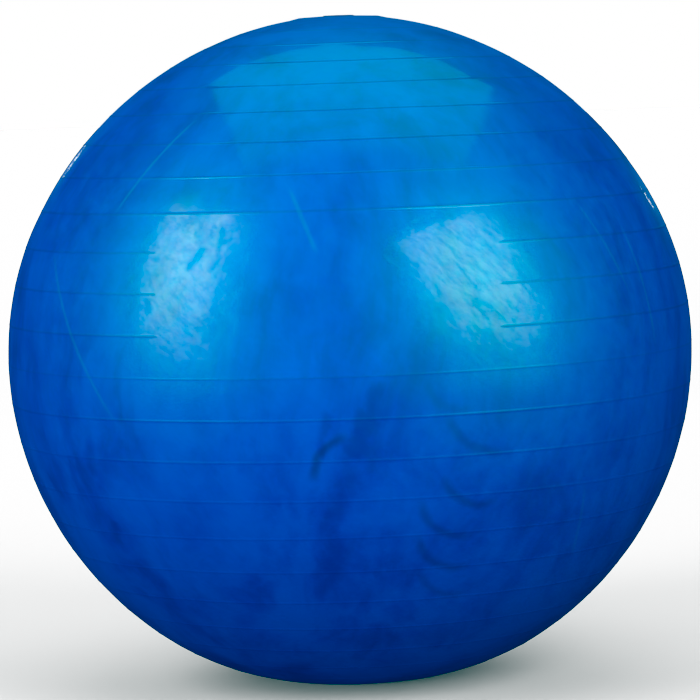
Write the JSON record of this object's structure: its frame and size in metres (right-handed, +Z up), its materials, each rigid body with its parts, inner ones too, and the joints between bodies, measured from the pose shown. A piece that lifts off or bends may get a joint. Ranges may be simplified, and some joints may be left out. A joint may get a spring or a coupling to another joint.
{
  "type": "exercise ball",
  "caption": "Large air-filled exercise ball with moulded rings around it, a smooth front panel and a push-in valve plug at the top.",
  "frame": {"origin": "centre of the flat patch on which the ball rests, on the axis of its rings", "axes": "+Z up along the axis of the rings towards the valve, -Y towards the smooth front panel"},
  "size_m": [0.6506, 0.6506, 0.6313],
  "materials": {
    "skin": "pearlescent gloss",
    "valve_seat": "gloss",
    "plug": "satin"
  },
  "bodies": {
    "ball": {"ball_shell": "skin", "valve_seat": "valve_seat"},
    "plug": {"valve_plug": "plug"}
  },
  "joints": [
    {"name": "plug_pull", "type": "slide", "parent": "ball", "child": "plug", "axis": [0, 0, 1], "range_m": [0, 0.05]}
  ]
}
